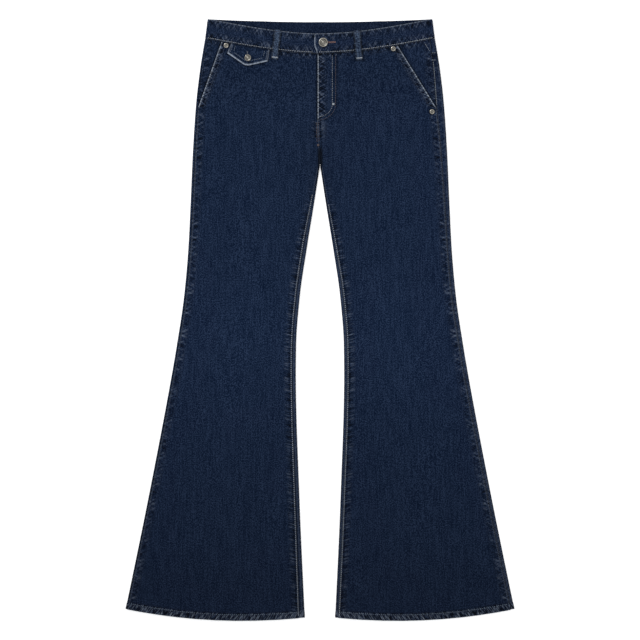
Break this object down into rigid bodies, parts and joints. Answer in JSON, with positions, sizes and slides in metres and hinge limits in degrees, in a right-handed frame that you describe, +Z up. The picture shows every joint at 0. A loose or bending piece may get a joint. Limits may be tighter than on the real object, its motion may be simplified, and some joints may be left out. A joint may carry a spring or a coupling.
{
  "type": "flared jeans",
  "caption": "Closed flared jeans laid flat on their back: dipped waistband, slant pockets, buttoned ticket flap, lapped fly and legs that flare from the knee",
  "frame": {"origin": "on the floor, under the middle of the garment's box", "axes": "X runs across the garment with the wearer's left at +X, Y runs up the body with the waist at +Y and the hems at -Y, Z is up from the floor with the garment's front on top"},
  "size_m": [0.7108, 1.1001, 0.0112],
  "materials": {
    "denim": "dark indigo twill denim, rinsed, with paler seams",
    "worn_denim": "the same denim rubbed greyer on loops and edges",
    "zip_tape": "dark woven zip tape",
    "antique_nickel": "antiqued nickel, darker in its recesses"
  },
  "bodies": {
    "root": {"right_front": "denim", "right_back": "denim", "right_yoke": "denim", "right_hip_facing": "denim", "right_back_pocket": "denim", "left_front": "denim", "left_back": "denim", "left_yoke": "denim", "left_hip_facing": "denim", "left_back_pocket": "denim", "fly_shield": "denim", "waistband": "denim", "ticket_flap": "denim", "loop_front_right": "worn_denim", "loop_front_left": "worn_denim", "loop_back_right": "worn_denim", "loop_back_centre": "worn_denim", "loop_back_left": "worn_denim", "fly_zip": "zip_tape", "waist_button": "antique_nickel", "flap_button": "antique_nickel", "rivet_right_upper": "antique_nickel", "rivet_left_upper": "antique_nickel", "rivet_left_lower": "antique_nickel"}
  },
  "joints": []
}
